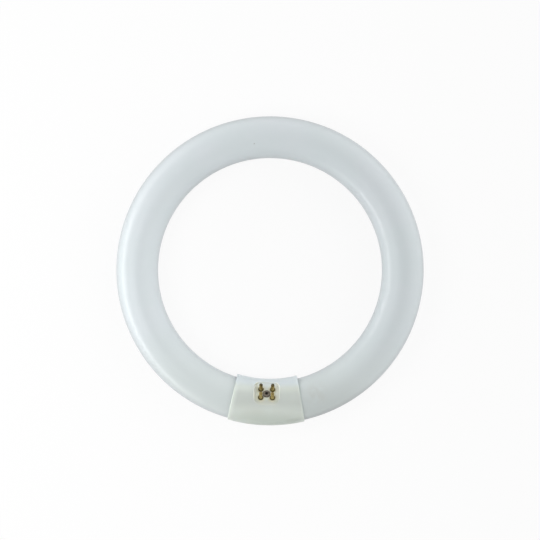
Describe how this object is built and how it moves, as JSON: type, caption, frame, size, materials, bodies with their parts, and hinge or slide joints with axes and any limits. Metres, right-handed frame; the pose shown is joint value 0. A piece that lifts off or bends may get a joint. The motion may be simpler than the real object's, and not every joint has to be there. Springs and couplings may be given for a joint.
{
  "type": "circular fluorescent tube",
  "caption": "Circular fluorescent lamp: a white glass ring whose ends meet in a moulded cap, with contact pins that lean towards the ring's middle.",
  "frame": {"origin": "the ring's axis, level with the underside of the cap, which the lamp rests on", "axes": "+Z along the ring's axis, out of the side that the pins show on; +Y from the cap across the ring"},
  "size_m": [0.21, 0.2111, 0.0354],
  "materials": {
    "coated_glass": "clear glass over a white powder coat inside, opaque, smooth and glossy",
    "cap_plastic": "moulded off-white plastic, satin",
    "pin_brass": "turned brass, slightly dulled, darker at the tips",
    "screw_steel": "plated steel, dull",
    "wire_metal": "drawn wire"
  },
  "bodies": {
    "root": {"glass_tube": "coated_glass", "cap_front_shell": "cap_plastic", "cap_rear_shell": "cap_plastic", "clamp_screw": "screw_steel", "contact_pin_left_outer": "pin_brass", "lead_wire_left_outer": "wire_metal", "contact_pin_left_inner": "pin_brass", "lead_wire_left_inner": "wire_metal", "contact_pin_right_outer": "pin_brass", "lead_wire_right_outer": "wire_metal", "contact_pin_right_inner": "pin_brass", "lead_wire_right_inner": "wire_metal"}
  },
  "joints": []
}
